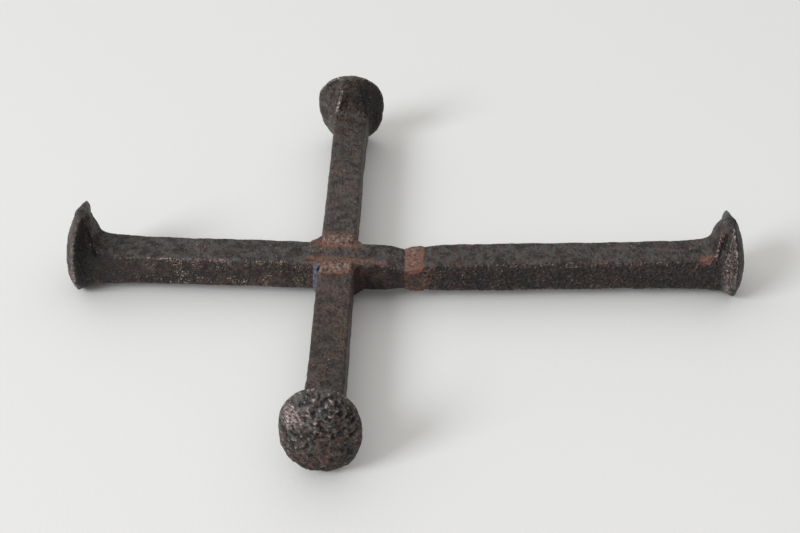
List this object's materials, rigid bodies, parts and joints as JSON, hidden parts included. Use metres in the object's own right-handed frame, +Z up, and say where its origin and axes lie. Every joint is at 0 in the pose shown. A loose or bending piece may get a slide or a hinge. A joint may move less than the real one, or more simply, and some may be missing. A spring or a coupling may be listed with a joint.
{
  "type": "welded rail spike cross",
  "caption": "Cross welded from cut rail spikes: square shanks butt-welded as stem and arms, with offset hooked heads that all face forward.",
  "frame": {"origin": "centre of the bounding box, on the surface that the back rims of the heads rest on", "axes": "+X along the stem towards the foot of the cross, +Y towards its right arm, +Z up out of its front, the way the lips of the heads point"},
  "size_m": [0.305, 0.2386, 0.0432],
  "materials": {
    "spike_iron": "black-brown scale with rust-brown edges, finely pitted",
    "arm_iron": "brown oxidised forging skin, finely pitted",
    "weld_metal": "dull pinkish-brown weld metal",
    "bright_weld": "smooth bluish weld bead"
  },
  "bodies": {
    "root": {"upper_stem_spike": "spike_iron", "lower_stem_spike": "spike_iron", "right_arm_spike": "arm_iron", "left_arm_spike": "arm_iron", "butt_weld_front_run": "weld_metal", "butt_weld_back_run": "weld_metal", "butt_weld_right_run": "weld_metal", "butt_weld_left_run": "weld_metal", "right_arm_front_run": "weld_metal", "right_arm_back_run": "weld_metal", "right_arm_upper_fillet": "weld_metal", "right_arm_lower_fillet": "weld_metal", "left_arm_front_run": "weld_metal", "left_arm_back_run": "weld_metal", "left_arm_upper_fillet": "bright_weld", "left_arm_lower_fillet": "weld_metal"}
  },
  "joints": []
}
